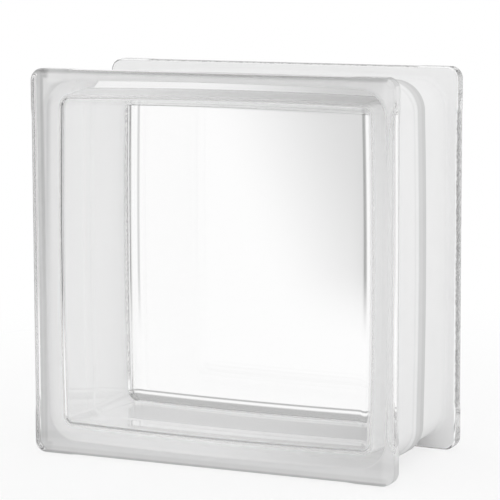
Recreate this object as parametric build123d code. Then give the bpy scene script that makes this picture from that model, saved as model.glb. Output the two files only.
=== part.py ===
"""A hollow glass block for building walls: two pressed glass half shells, fused rim to rim.

The block stands on the lower edges of its two faces. The origin is on the ground at the middle of
the block, +X is to the right along the face, +Y is from the front face to the back face, and +Z is
up. Lengths are in millimetres and angles in degrees.
"""

import os

from build123d import *

# The outside of the block. It is as high as it is wide.
block_width = 196.85
block_depth = 98.43

# The flange, the thick edge of each face that frames the block.
flange_thickness = 9.6
flange_corner_radius = 6.2
face_edge_radius = 2.8
flange_back_bevel = 0.8

# Each edge of a flange stands proud for a length at both corners. Between these pads it steps back
# by a small relief.
corner_pad_length = 20.0
edge_relief = 0.3
relief_ramp = 4.0

# The seam bead, the swollen band where the two soft rims were pressed together. Its sides bow
# outwards, so its crest is nearest to the edge of the block at the middle of each side.
seam_depth = 5.0
seam_bow = 1.5
seam_corner_radius = 16.0
bead_height = 1.3
bead_half_width = 4.8
bead_ramp = 2.2
bead_blend_radius = 1.6

# The mortar channel, the sunk band from the foot of the bead to the flange. It gets deeper
# towards the flange by the draft of the mould.
channel_draft = 1.0
channel_root_fillet = 2.4

# The glass between the outside and the sealed hollow. The hollow narrows towards the pane by the
# draft of the plunger.
pane_thickness = 8.3
rim_thickness = 7.5
hollow_corner_radius = 6.0
hollow_draft = 3.0
hollow_floor_fillet = 5.5

# The ridge that the fused rims leave on the inside of the wall.
ridge_height = 0.6
ridge_half_width = 1.2
ridge_ramp = 1.6

half_depth = block_depth / 2
half_width = block_width / 2


def seam_plane(distance):
    """The upright plane that lies a distance in front of the seam."""
    return Plane.XZ.offset(distance)


def wall_outline(distance, depth, corner_radius):
    """A square with bowed sides and round corners, its corners a depth inside the block's edge."""
    side = half_width - depth
    crest = side + seam_bow
    corners = [(side, side), (side, -side), (-side, -side), (-side, side)]
    crests = [(crest, 0), (0, -crest), (-crest, 0), (0, crest)]
    with BuildSketch(seam_plane(distance)) as outline:
        with BuildLine():
            for i in range(4):
                ThreePointArc(corners[i], crests[i], corners[(i + 1) % 4])
        make_face()
        fillet(outline.vertices(), corner_radius)
    return outline.sketch


def edge_relief_cut():
    """What is taken off one edge of the flange between its two corner pads, as a flat shape."""
    ramp_start = half_width - corner_pad_length
    ramp_end = ramp_start - relief_ramp
    bottom = half_width - edge_relief
    outside = half_width + edge_relief
    with BuildSketch(seam_plane(half_depth)) as cut:
        with BuildLine():
            Polyline(
                (-ramp_start, outside),
                (-ramp_start, half_width),
                (-ramp_end, bottom),
                (ramp_end, bottom),
                (ramp_start, half_width),
                (ramp_start, outside),
                close=True,
            )
        make_face()
    return cut.sketch


def is_square_corner(vertex):
    """Whether a corner of the flange's outline lies at a corner of the face."""
    return min(abs(vertex.X), abs(vertex.Z)) > half_width - edge_relief / 2


def flange_outline():
    """The outline of one face, with round corners, corner pads and the relieved edges between."""
    with BuildSketch(seam_plane(half_depth)) as square:
        Rectangle(block_width, block_width)
    outline = square.sketch
    for quarter_turn in range(4):
        outline -= edge_relief_cut().rotate(Axis.Y, 90 * quarter_turn)
    return fillet(outline.vertices().filter_by(is_square_corner), flange_corner_radius)


def flange():
    """The slab at the face, which carries the pane and stands out past the side wall."""
    slab = extrude(flange_outline(), -flange_thickness)
    slab = fillet(slab.edges().group_by(Axis.Y)[0], face_edge_radius)
    return chamfer(slab.edges().group_by(Axis.Y)[-1], flange_back_bevel)


def edges_round(solid, distance):
    """The edges that run round the block at a distance in front of the seam."""
    return solid.edges().filter_by_position(Axis.Y, -distance - 1e-4, -distance + 1e-4)


def end_face(solid, end):
    """The flat end of a solid at its front, or at its back beside the seam."""
    return solid.faces().sort_by(Axis.Y)[0 if end == "front" else -1]


def stepped_in(solid, end, height, ramp):
    """Slopes one end of a solid inwards by a height, over the length of a ramp."""
    face = end_face(solid, end)
    return chamfer(face.edges(), height, ramp, reference=face)


def drafted(solid, distance, slope):
    """Leans the straight sides of a solid inwards to the front, pivoting a distance before the seam."""
    return draft(solid.faces().filter_by(GeomType.CYLINDER), seam_plane(distance), slope)


def wall_body():
    """The side wall, still filled in, from the seam to the back of the flange, with half the bead."""
    foot = bead_half_width + bead_ramp
    bead = extrude(wall_outline(0, seam_depth, seam_corner_radius), foot)
    bead = stepped_in(bead, "front", bead_height, bead_ramp)
    wall = extrude(end_face(bead, "front"), half_depth - flange_thickness - foot, dir=(0, -1, 0))
    body = bead + drafted(wall, foot, channel_draft)
    body = fillet(edges_round(body, foot), bead_blend_radius)
    return fillet(edges_round(body, bead_half_width), bead_blend_radius)


def hollow():
    """The hollow that the plunger presses into one half, narrower at the ridge beside the seam."""
    foot = ridge_half_width + ridge_ramp
    floor = half_depth - pane_thickness
    widest = wall_outline(ridge_half_width, seam_depth + rim_thickness - ridge_height, hollow_corner_radius)
    space = stepped_in(extrude(widest, floor - ridge_half_width), "back", ridge_height, ridge_ramp)
    space = drafted(space, foot, hollow_draft)
    space += extrude(end_face(space, "back"), ridge_half_width, dir=(0, 1, 0))
    return fillet(end_face(space, "front").edges(), hollow_floor_fillet)


def is_channel_root(edge):
    """Whether an edge on the back of the flange is where the side wall starts."""
    middle = edge @ 0.5
    return max(abs(middle.X), abs(middle.Z)) < half_width - seam_depth / 2


def half_shell():
    """One pressed half, centred on the block, with its face to the front."""
    shell = flange() + wall_body()
    root = edges_round(shell, half_depth - flange_thickness).filter_by(is_channel_root)
    return fillet(root, channel_root_fillet) - hollow()


os.makedirs("parts", exist_ok=True)
front_half = Pos(0, 0, half_width) * half_shell()
back_half = Rot(0, 0, 180) * front_half
export_step(front_half, "parts/front_half.step")
export_step(back_half, "parts/back_half.step")
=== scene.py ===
"""A hollow glass block on a pale floor, in a white studio."""

from math import degrees, radians

import bmesh
import bpy
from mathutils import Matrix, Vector


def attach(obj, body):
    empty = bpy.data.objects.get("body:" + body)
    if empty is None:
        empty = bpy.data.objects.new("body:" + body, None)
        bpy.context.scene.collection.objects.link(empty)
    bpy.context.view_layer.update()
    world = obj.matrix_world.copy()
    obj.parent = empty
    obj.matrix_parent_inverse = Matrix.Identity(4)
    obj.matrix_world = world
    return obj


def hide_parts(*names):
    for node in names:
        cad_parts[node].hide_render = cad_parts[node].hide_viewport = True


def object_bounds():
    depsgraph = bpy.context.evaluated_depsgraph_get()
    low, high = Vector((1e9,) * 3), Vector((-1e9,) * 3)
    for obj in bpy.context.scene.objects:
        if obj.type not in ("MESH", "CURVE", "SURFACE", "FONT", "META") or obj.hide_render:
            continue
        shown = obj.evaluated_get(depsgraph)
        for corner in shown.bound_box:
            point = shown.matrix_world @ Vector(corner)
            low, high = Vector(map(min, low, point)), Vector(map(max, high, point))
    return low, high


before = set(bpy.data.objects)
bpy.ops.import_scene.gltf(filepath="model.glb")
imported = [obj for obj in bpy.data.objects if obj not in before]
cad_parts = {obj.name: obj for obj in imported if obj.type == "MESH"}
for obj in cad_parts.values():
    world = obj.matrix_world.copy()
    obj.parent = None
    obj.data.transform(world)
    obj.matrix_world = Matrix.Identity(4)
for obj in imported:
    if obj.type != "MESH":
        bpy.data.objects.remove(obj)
cad_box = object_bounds()

# The side wall of a half shell, with half of the seam bead that swells where the two soft rims
# were pressed together. Clear glass, pressed in a mould, with the draft that lets it leave the
# mould. Sizes are in metres, and places are measured from the middle of the block.
half_width = (cad_box[1][0] - cad_box[0][0]) / 2
half_depth = (cad_box[1][1] - cad_box[0][1]) / 2
centre = Vector((0, 0, half_width))
flange_thickness = 0.0096
flange_inner = half_depth - flange_thickness

channel_depth = 0.00582
wall_half = half_width - channel_depth
wall_corner_radius = 0.0152
wall_draft = 0.0006
wall_column_step = 0.009
bow = 0.00102
bow_reach = 0.077
bead_height = 0.0013
bead_half_width = 0.0048
bead_foot = 0.0070
bead_edge_radius = 0.00075
corner_segments = 14
columns = 17
near = 1e-6


def is_near(value, target):
    return abs(value - target) < near


def pick(kind, rule):
    """Selects the vertices, edges or faces of the open mesh whose places fit a rule."""
    mesh = bmesh.from_edit_mesh(bpy.context.object.data)
    bpy.ops.mesh.select_mode(type={"verts": "VERT", "edges": "EDGE", "faces": "FACE"}[kind])
    bpy.ops.mesh.select_all(action="DESELECT")
    for item in getattr(mesh, kind):
        if kind == "verts":
            item.select_set(rule(item.co - centre))
        elif kind == "edges":
            item.select_set(rule(item, *(vertex.co - centre for vertex in item.verts)))
        else:
            item.select_set(rule(item.calc_center_median() - centre, item.normal))
    mesh.select_flush_mode()
    bmesh.update_edit_mesh(bpy.context.object.data)


def square_box(name, half_size, front, back):
    """A square box round the middle of the block, from y = front to y = back, open in edit mode."""
    bpy.ops.object.select_all(action="DESELECT")
    bpy.ops.mesh.primitive_cube_add(
        size=1,
        location=(0, (front + back) / 2, half_width),
        scale=(2 * half_size, back - front, 2 * half_size),
    )
    bpy.ops.object.transform_apply(location=True, rotation=False, scale=True)
    bpy.context.object.name = name
    bpy.ops.object.mode_set(mode="EDIT")
    return bpy.context.object


def delete_faces(rule):
    pick("faces", rule)
    bpy.ops.mesh.delete(type="FACE")


def round_off(radius, segments):
    """Rounds the selected edges."""
    bpy.ops.mesh.bevel(offset=radius, offset_type="OFFSET", segments=segments, affect="EDGES")


def round_corners(radius):
    """Rounds the four edges that run from front to back."""
    pick("edges", lambda edge, a, b: not is_near(a.y, b.y))
    round_off(radius, corner_segments)


def cut_at(position, axis):
    """Cuts the mesh across, square to an axis."""
    bpy.ops.mesh.select_all(action="SELECT")
    normal = [0, 0, 0]
    normal[axis] = 1
    point = list(centre)
    point[axis] += position
    bpy.ops.mesh.bisect(plane_co=point, plane_no=normal)


def cut_columns(positions):
    """Cuts each of the four sides across, at the same places on both sides of its middle."""
    for position in positions:
        cut_at(position, 0)
        cut_at(position, 2)


def scale_square(half_size, new_half_size, rule):
    """Scales the picked vertices about the middle line of the block."""
    pick("verts", rule)
    factor = new_half_size / half_size
    bpy.ops.transform.resize(value=(factor, 1, factor), center_override=centre)


def push_sides(distance, rule):
    """Moves vertices of the four sides outwards.

    The rule gets how far out a vertex lies and its place along its side.
    """
    for axis, across in ((0, 2), (2, 0)):
        for side in (-1, 1):
            pick("verts", lambda co: rule(co[axis] * side, co[across]))
            move = [0, 0, 0]
            move[axis] = distance * side
            bpy.ops.transform.translate(value=move)


def bow_sides(positions):
    """Swells the four sides, most at their middle."""
    for position in positions:
        swelling = bow * (1 - (position / bow_reach) ** 2)
        push_sides(swelling, lambda reach, along: is_near(along, position) and reach > bow_reach)


def round_rings(depths, radius, segments):
    """Rounds the edges that run round the block at some depths."""

    def is_on_ring(edge, a, b):
        return is_near(a.y, b.y) and any(is_near(a.y, -depth) for depth in depths)

    pick("edges", is_on_ring)
    round_off(radius, segments)


wall = square_box("side_wall", wall_half + bead_height, -flange_inner, 0)
delete_faces(lambda middle, normal: abs(normal.y) > 0.9)
round_corners(wall_corner_radius)
cut_at(-bead_foot, 1)
cut_at(-bead_half_width, 1)
scale_square(wall_half + bead_height, wall_half, lambda co: co.y < -bead_foot + near)
scale_square(wall_half, wall_half - wall_draft, lambda co: co.y < -flange_inner + near)
wall_columns = [(i - (columns - 1) / 2) * wall_column_step for i in range(columns)]
cut_columns(wall_columns)
bow_sides(wall_columns)
round_rings((bead_foot, bead_half_width), bead_edge_radius, 5)
bpy.ops.object.mode_set(mode="OBJECT")

# The flange, the thick rim round the flat face. It is pressed with the wall in one piece, and its
# edges are rounded by fire polishing. Beside each corner a pad stands proud, and between the pads
# the edge steps back a little.
flange_corner_radius = 0.0062
face_edge_radius = 0.0028
flange_back_radius = 0.0009
pad_length = 0.020
relief_ramp = 0.004
edge_relief = 0.0003
flange_column_step = 0.0104
pad_start = half_width - pad_length
relief_start = pad_start - relief_ramp

flange = square_box("flange", half_width, -half_depth, -flange_inner)
round_corners(flange_corner_radius)
pick("faces", lambda middle, normal: normal.y < -0.9)
bpy.ops.mesh.region_to_loop()
round_off(face_edge_radius, 8)
pick("faces", lambda middle, normal: normal.y > 0.9)
bpy.ops.mesh.region_to_loop()
round_off(flange_back_radius, 4)
delete_faces(lambda middle, normal: normal.y > 0.999)
flange_columns = [0]
for column in [pad_start, relief_start] + [i * flange_column_step for i in range(1, 7)]:
    flange_columns += [-column, column]
cut_columns(flange_columns)
edge_start = half_width - face_edge_radius - near
relief_end = relief_start + near
push_sides(-edge_relief, lambda reach, along: abs(along) < relief_end and reach > edge_start)
bpy.ops.object.mode_set(mode="OBJECT")

# The hollow that the plunger presses into the half shell. The fused rims leave a low ridge round
# it at the seam, and a wide fillet runs round the pane.
pane_thickness = 0.0083
hollow_floor = half_depth - pane_thickness
hollow_inset = 0.01142
hollow_half = half_width - hollow_inset
hollow_corner_radius = 0.0060
hollow_floor_radius = 0.0054
hollow_draft = 0.0020
hollow_column_step = 0.0095
ridge_height = 0.0006
ridge_half_width = 0.0012
ridge_foot = 0.0028
ridge_edge_radius = 0.0004

hollow = square_box("hollow", hollow_half, -hollow_floor, 0)
delete_faces(lambda middle, normal: normal.y > 0.9)
round_corners(hollow_corner_radius)
cut_at(-ridge_foot, 1)
cut_at(-ridge_half_width, 1)
scale_square(hollow_half, hollow_half - ridge_height, lambda co: co.y > -ridge_half_width - near)
scale_square(hollow_half, hollow_half - hollow_draft, lambda co: co.y < -hollow_floor + near)
pick("faces", lambda middle, normal: normal.y < -0.9)
bpy.ops.mesh.region_to_loop()
round_off(hollow_floor_radius, 12)
hollow_columns = [(i - (columns - 1) / 2) * hollow_column_step for i in range(columns)]
cut_columns(hollow_columns)
bow_sides(hollow_columns)
round_rings((ridge_foot, ridge_half_width), ridge_edge_radius, 4)
bpy.ops.mesh.select_all(action="SELECT")
bpy.ops.mesh.flip_normals()
bpy.ops.object.mode_set(mode="OBJECT")

# The block: the flange runs into its wall with a fillet, the hollow lies inside, and the back half
# is the same pressing turned round. Heat fuses the two rims into one piece of glass.
fillet_radius = 0.0024
flange_root = half_width - 0.0045

bpy.ops.object.select_all(action="DESELECT")
for part in (flange, hollow, wall):
    part.select_set(True)
bpy.context.view_layer.objects.active = wall
bpy.ops.object.join()
block = bpy.context.object
block.name = "fused_shells"
bpy.ops.object.mode_set(mode="EDIT")


def is_on_flange_back(edge, a, b):
    return is_near(a.y, -flange_inner) and is_near(b.y, -flange_inner)


def is_wall_root(edge, a, b):
    """Whether an edge runs round the foot of the wall, on the back of the flange."""
    if not is_on_flange_back(edge, a, b) or max(abs(a.x), abs(a.z)) > flange_root:
        return False
    return any(abs(face.normal.y) < 0.5 for face in edge.link_faces)


pick("edges", lambda edge, a, b: edge.is_boundary and is_on_flange_back(edge, a, b))
bpy.ops.mesh.bridge_edge_loops()
pick("edges", is_wall_root)
round_off(fillet_radius, 8)
bpy.ops.object.mode_set(mode="OBJECT")
mirror = block.modifiers.new("back_half", "MIRROR")
mirror.use_axis = (False, True, False)
mirror.use_clip = True
mirror.merge_threshold = near
bpy.ops.object.modifier_apply(modifier="back_half")


class Value:
    """A number in a shader. Python's operators on it add the Math nodes that work it out."""

    def __init__(self, shader, socket):
        self.shader = shader
        self.socket = socket

    def math(self, operation, *others):
        return self.shader.value("Math", {"operation": operation}, dict(enumerate((self, *others))))

    def __add__(self, other):
        return self.math("ADD", other)

    def __sub__(self, other):
        return self.math("SUBTRACT", other)

    def __rsub__(self, other):
        return (self * -1).math("ADD", other)

    def __mul__(self, other):
        return self.math("MULTIPLY", other)

    def __abs__(self):
        return self.math("ABSOLUTE")

    __radd__ = __add__
    __rmul__ = __mul__


class Shader:
    """A node tree. One method adds its nodes, sets them, and fills or links their sockets."""

    def __init__(self, tree):
        self.tree = tree
        tree.nodes.clear()

    def add(self, kind, settings=(), inputs=()):
        node = self.tree.nodes.new("ShaderNode" + kind)
        for name, setting in dict(settings).items():
            setattr(node, name, setting)
        for name, value in dict(inputs).items():
            if isinstance(value, (Value, bpy.types.NodeSocket)):
                self.tree.links.new(getattr(value, "socket", value), node.inputs[name])
            else:
                node.inputs[name].default_value = value
        return node

    def value(self, kind, settings, inputs):
        return Value(self, self.add(kind, settings, inputs).outputs[0])

    def ramp(self, value, start, end, low=0, high=1):
        """Goes smoothly from low to high while a value goes from start to end."""
        inputs = {"Value": value, "From Min": start, "From Max": end, "To Min": low, "To Max": high}
        return self.value("MapRange", {"interpolation_type": "SMOOTHSTEP"}, inputs)

    def split(self, vector):
        parts = self.add("SeparateXYZ", {}, {0: vector})
        return [Value(self, parts.outputs[name]) for name in "XYZ"]

    def join(self, *parts):
        return self.add("CombineXYZ", {}, dict(enumerate(parts))).outputs[0]

    def noise(self, place, scale, detail):
        inputs = {"Vector": place, "Scale": scale, "Detail": detail, "Roughness": 0.5}
        return self.value("TexNoise", {}, inputs)

    def stretched_noise(self, x, y, z, across, along, detail):
        """Noise with one scale from front to back, and another across."""
        return self.noise(self.join(x * across, y * along, (z - half_width) * across), 1.0, detail)


def new_material(name):
    material = bpy.data.materials.new(name)
    material.use_nodes = True
    return material, Shader(material.node_tree)


def grey(shade):
    return (shade, shade, shade, 1)


# The finish of the clear glass. Long paths through it are a little greyer, the faces are fire
# polished, and the pressed sides are faintly wavy. The edges of the back flange are stippled
# between the pads, and painted shade darkens their stipple and pits. The rim of each face carries
# a thin line of painted shade, but not at the front right.
stipple_scale = 700
stipple_height = 0.00012
stipple_roughness = 0.25
# Shares of painted shade on the stippled edges, their pits and the face rims.
painted_stipple_shade = 0.3
painted_pit_shade = 0.45
wave_height = 0.00002
painted_rim_shade = 0.5

glass, shader = new_material("clear_pressed_glass")
place = shader.add("TexCoord").outputs["Object"]
x, y, z = shader.split(place)
side_x, side_z, depth = abs(x), abs(z - half_width), abs(y)
reach = side_x.math("MAXIMUM", side_z)
along = side_x.math("MINIMUM", side_z)
on_back_half = shader.ramp(y, 0, near)
on_edge = shader.ramp(reach, half_width - 0.0009, half_width - 0.0006)
between_pads = shader.ramp(along, relief_start, pad_start, 1, 0)
off_face = shader.ramp(depth, half_depth - 0.0024, half_depth - 0.0012, 1, 0)
stippled = on_edge * between_pads * off_face * on_back_half
on_side = shader.ramp(depth, hollow_floor - 0.006, hollow_floor - 0.001, 1, 0)
stipple = shader.noise(place, stipple_scale, 3.0)
pits = shader.ramp(stipple, 0.35, 0.6, 1, 0)
waves = shader.stretched_noise(x, y, z, 20, 120, 0.0)
height = stipple * stippled * stipple_height + waves * on_side * wave_height
bump = shader.add("Bump", {}, {"Strength": 1.0, "Distance": 1.0, "Height": height})
near_edge = shader.ramp(reach, half_width - 0.0026, half_width - 0.0012)
near_face = shader.ramp(depth, half_depth - 0.0028, half_depth - 0.0022)
front_right = shader.ramp(x, half_width - 0.004, half_width - 0.003) * (1 - on_back_half)
at_rim = near_edge * near_face * (1 - front_right)
# Painted shade: darker stipple and pits on the back flange's edges, and a dark line round each
# face's rim.
shade = 1 - stippled * (pits * painted_pit_shade + painted_stipple_shade) - at_rim * painted_rim_shade
surface = shader.add("BsdfPrincipled", {}, {
    "Base Color": shader.join(shade, shade, shade),
    "Roughness": stippled * stipple_roughness,
    "IOR": 1.52,
    "Transmission Weight": 1.0,
    "Normal": bump.outputs[0],
})
absorption = shader.add("VolumeAbsorption", {}, {"Color": grey(0.0), "Density": 1.0})
outputs = {"Surface": surface.outputs[0], "Volume": absorption.outputs[0]}
shader.add("OutputMaterial", {}, outputs)

# The finish of the glass under the coating. The paint is bonded to it, so it scatters light back
# into the glass. Painted shade darkens it on the backs of the flanges, most in two thin lines along
# them, on the walls above and below to the right, and at the left wall's root, and painted light
# brightens the right flange. Faint streaks vary its tone, and a faint glow paints the light that
# comes through the coat.
full_height = 2 * half_width
side_near = 0.006
side_far = 0.009
streak_shade = 0.04

coated, shader = new_material("coated_glass")
x, y, z = shader.split(shader.add("TexCoord").outputs["Object"])
from_edge = half_width - abs(x).math("MAXIMUM", abs(z - half_width))
depth = abs(y)
on_back_half = shader.ramp(y, 0, near)
on_flange = shader.ramp(depth, flange_inner - 0.0022, flange_inner - 0.0006)
on_wall = 1 - on_flange
at_root = shader.ramp(depth, flange_inner - 0.0130, flange_inner - 0.0030)
on_left = shader.ramp(x, -half_width + side_near, -half_width + side_far, 1, 0)
on_right = shader.ramp(x, half_width - side_far, half_width - side_near)
on_top = shader.ramp(z, full_height - side_far, full_height - side_near) * (1 - on_left)
on_bottom = shader.ramp(z, side_near, side_far, 1, 0) * (1 - on_left)
to_middle = shader.ramp(x, -0.075, 0.0)
to_right = shader.ramp(x, -0.02, 0.085)
to_top = shader.ramp(z, 0.05, 0.16)
inner_line = shader.ramp(abs(from_edge - 0.0040), 0.0003, 0.0016, 1, 0)
outer_line = shader.ramp(abs(from_edge - 0.0020), 0.0003, 0.0014, 1, 0)
left_root = at_root * on_wall * on_left * (1 - on_back_half)
streaks = shader.stretched_noise(x, y, z, 12, 420, 3.0)

# Painted shade under the coating, by side, in lines and at the left wall's root; a negative share
# is painted light.
flange_painted_shades = [
    (1 - on_top, 0.12),
    (on_top * to_right, 0.12),
    (on_right, -0.07),
    (inner_line * on_left, 0.12),
    (inner_line * on_left * to_top, 0.14),
    (inner_line * on_back_half, 0.2),
    (outer_line, 0.06),
    (outer_line * on_left, 0.06),
    (outer_line * on_back_half, 0.15),
]
wall_painted_shades = [
    (on_top * to_middle, 0.10),
    (on_top * to_right, 0.12),
    (on_bottom * to_right, 0.12),
    (on_right, 0.02),
    (left_root, 0.04),
    (left_root * to_top, 0.17),
]


def all_painted_shades(shades):
    """Adds up places, each with its share of painted shade; a negative share paints light."""
    return sum(where * share for where, share in shades)


shade = 1.0 - on_flange * all_painted_shades(flange_painted_shades) - on_wall * all_painted_shades(wall_painted_shades)
shade = shade - (1 - streaks) * streak_shade
surface = shader.add("BsdfPrincipled", {}, {
    "Base Color": shader.join(shade, shade, shade),
    "Roughness": 1.0,
    "Specular IOR Level": 0.0,
    # A faint white glow: painted light that stands for the light the coat lets through.
    "Emission Color": grey(1.0),
    "Emission Strength": 0.015,
})
shader.add("OutputMaterial", {}, {"Surface": surface.outputs[0]})

block.data.materials.clear()
block.data.materials.append(glass)
block.data.materials.append(coated)


def is_in_channel(middle, normal):
    """Whether a face looks outwards between the two flanges, or is the back of a flange."""
    if abs(middle.y) > flange_inner + 1e-5:
        return False
    return abs(normal.y) > 0.9 or normal.x * middle.x + normal.z * middle.z > 0


bpy.ops.object.mode_set(mode="EDIT")
pick("faces", is_in_channel)
block.active_material_index = 1
bpy.ops.object.material_slot_assign()

# The coating in the channel, a thin film of pale matt paint with fine grit that keys to mortar.
# It is sprayed on the fused block, from one flange to the other and over the seam bead. The film
# lies a hair above the glass, so that no light is caught between two faces at the same place.
film_thickness = 0.00008
film_gap = 0.00003
wall_grey = 0.88
# Shares of painted shade on the seam bead, its back half and the creases at its foot.
bead_painted_shade = 0.19
back_of_bead_painted_shade = 0.05
crease_painted_shade = 0.05
mottle_shade = 0.04
grit_height = 0.00004

bpy.ops.mesh.duplicate()
bpy.ops.transform.shrink_fatten(value=film_gap)
bpy.ops.mesh.separate(type="SELECTED")
bpy.ops.object.mode_set(mode="OBJECT")
coating = next(piece for piece in bpy.context.selected_objects if piece is not block)
coating.name = "channel_coating"
bpy.ops.object.select_all(action="DESELECT")
coating.select_set(True)
bpy.context.view_layer.objects.active = coating
film = coating.modifiers.new("film", "SOLIDIFY")
film.thickness = film_thickness
film.offset = 1
bpy.ops.object.modifier_apply(modifier="film")

paint, shader = new_material("matt_channel_paint")
place = shader.add("TexCoord").outputs["Object"]
x, y, z = shader.split(place)
depth = abs(y)
on_bead = shader.ramp(depth, bead_half_width - 0.0002, bead_half_width + 0.0008, 1, 0)
back_of_bead = shader.ramp(y, -0.0012, 0.0006)
crease = shader.ramp(abs(depth - bead_foot - 0.0002), 0.0003, 0.0010, 1, 0)
mottle = shader.noise(place, 60, 4.0)
grit = shader.noise(place, 2600, 2.0)
# Painted shade darkens the seam bead, most on its back half, and the creases at its foot.
shade = wall_grey - on_bead * (bead_painted_shade + back_of_bead * back_of_bead_painted_shade)
shade = shade - crease * crease_painted_shade + (mottle - 0.5) * mottle_shade
bump = shader.add("Bump", {}, {"Strength": 1.0, "Distance": 1.0, "Height": grit * grit_height})
surface = shader.add("BsdfPrincipled", {}, {
    "Base Color": shader.join(shade, shade, shade),
    "Roughness": 0.85,
    "Specular IOR Level": 0.2,
    "Normal": bump.outputs[0],
})
shader.add("OutputMaterial", {}, {"Surface": surface.outputs[0]})
coating.data.materials.clear()
coating.data.materials.append(paint)

for piece in (block, coating):
    bpy.ops.object.select_all(action="DESELECT")
    piece.select_set(True)
    bpy.context.view_layer.objects.active = piece
    bpy.ops.object.shade_smooth()
    weighted = piece.modifiers.new("even_shading", "WEIGHTED_NORMAL")
    weighted.keep_sharp = True
    weighted.weight = 60
    bpy.ops.object.modifier_apply(modifier="even_shading")
    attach(piece, "root")
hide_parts("front_half", "back_half")

# The floor, a pale sheet that keeps the block's shadow and fades into the white of the studio.
# Light that comes through glass or off it finds it white, with two lines of painted shadow near
# the block, which are what the foot of the pane shows.
floor_size = 1.5
floor_gap = 0.0001
floor_grey = 0.9
painted_line_shade = 0.55
line_distance = 0.042
least_white = 0.72

bpy.ops.object.select_all(action="DESELECT")
bpy.ops.mesh.primitive_plane_add(size=floor_size, location=(0, 0, -floor_gap))
floor = bpy.context.object
floor.name = "floor"
pale, shader = new_material("pale_floor")
x, y, z = shader.split(shader.add("TexCoord").outputs["Object"])
away = (x * x + y * y).math("SQRT")
beside = (abs(x) - half_width).math("MAXIMUM", 0)
behind = (abs(y) - half_depth).math("MAXIMUM", 0)
clear_of_block = (beside * beside + behind * behind).math("SQRT")
rays = shader.add("LightPath")
to_camera = Value(shader, rays.outputs["Is Camera Ray"])
by_gloss = Value(shader, rays.outputs["Is Glossy Ray"])
through_glass = Value(shader, rays.outputs["Is Transmission Ray"])
matt = shader.add("BsdfDiffuse", {}, {"Color": grey(floor_grey)})
# Two lines of painted shadow round the block, seen only by light through glass or off it.
far_line = shader.ramp(abs(clear_of_block - line_distance), 0.006, 0.011, 1, 0)
close_line = shader.ramp(clear_of_block, 0.014, 0.022, 1, 0)
painted_shadow_line = far_line.math("MAXIMUM", close_line)
glow = 1 - painted_shadow_line * (1 - to_camera) * painted_line_shade
white = shader.add("Emission", {}, {"Color": shader.join(glow, glow, glow), "Strength": 1.0})
seen_by_camera = to_camera * shader.ramp(away, 0.12, 0.5, least_white, 1.0)
seen_by_glass = by_gloss.math("MAXIMUM", through_glass) * (1 - to_camera)
seen = seen_by_camera.math("MAXIMUM", seen_by_glass)
mix = shader.add("MixShader", {}, {0: seen, 1: matt.outputs[0], 2: white.outputs[0]})
gone = shader.add("BsdfTransparent")
edge = shader.ramp(away, 0.3, 0.65)
mix = shader.add("MixShader", {}, {0: edge, 1: mix.outputs[0], 2: gone.outputs[0]})
shader.add("OutputMaterial", {}, {"Surface": mix.outputs[0]})
floor.data.materials.append(pale)

# The studio: white all round, with dark bands to both sides, above, and beside the backdrop. Only
# light that glass reflects or bends shows them. The camera and the matt surfaces get plain white.
world = bpy.data.worlds.new("studio")
bpy.context.scene.world = world
world.use_nodes = True
shader = Shader(world.node_tree)
x, y, z = shader.split(shader.add("TexCoord").outputs["Generated"])
turn = x.math("ARCTAN2", y) * degrees(1)
rise = z.math("ARCSINE") * degrees(1)


def band(value, start, full, end, gone):
    """1 where an angle lies between full and end, falling to 0 at start and gone."""
    return shader.ramp(value, start, full) * shader.ramp(value, end, gone, 1, 0)


def corner_of_backdrop():
    """The backdrop's upper corner, beyond a slanted line across it."""
    across = (turn + 27.3) * 0.189
    up = (rise + 11.6) * 0.141
    beyond_line = shader.ramp(across + up * 0.5, 0.75, 1.5)
    return beyond_line * shader.ramp(turn, -19, -6, 1, 0) * shader.ramp(rise, 4, 12, 1, 0)


dark_places = [
    (band(turn, -19.5, -15, -12, -6) * band(rise, -60, -40, 30, 60), 0.6),
    (band(turn, -42, -38, -34, -30), 0.35),
    (band(abs(turn), 60, 80, 100, 125), 0.95),
    (band(rise, 8, 12, 24, 29), 0.75),
    (corner_of_backdrop(), 0.33),
]
light = 1
for where, share in dark_places:
    light = light * (1 - where * share)

rays = shader.add("LightPath")
to_camera = Value(shader, rays.outputs["Is Camera Ray"])
from_matt = Value(shader, rays.outputs["Is Diffuse Ray"])
scattered_before = Value(shader, rays.outputs["Diffuse Depth"]).math("MINIMUM", 1)
plain = to_camera.math("MAXIMUM", scattered_before).math("MAXIMUM", from_matt)
strength = light * (1 - plain) + plain
colour = shader.join(strength, strength, strength)
background = shader.add("Background", {}, {"Color": colour, "Strength": 1.0})
shader.add("OutputWorld", {}, {"Surface": background.outputs[0]})

# The camera stands to the right of the block and looks slightly down at it.
camera_data = bpy.data.cameras.new("camera")
camera_data.sensor_width = 36
camera_data.lens = 173.0
camera_data.shift_y = -0.08
camera = bpy.data.objects.new("camera", camera_data)
bpy.context.scene.collection.objects.link(camera)
camera.location = (0.5075, -1.0998, 0.2757)
camera.rotation_euler = (radians(90 - 7.13), radians(0.19), radians(24.69))

# Light crosses many faces of glass, so it may bounce often, and none of its lines are blurred.
scene = bpy.context.scene
scene.camera = camera
scene.view_settings.view_transform = "Standard"
scene.cycles.blur_glossy = 0
scene.cycles.max_bounces = 40
scene.cycles.diffuse_bounces = 16
scene.cycles.transmission_bounces = 32
scene.cycles.glossy_bounces = 24
scene.cycles.transparent_max_bounces = 16

bpy.context.view_layer.update()
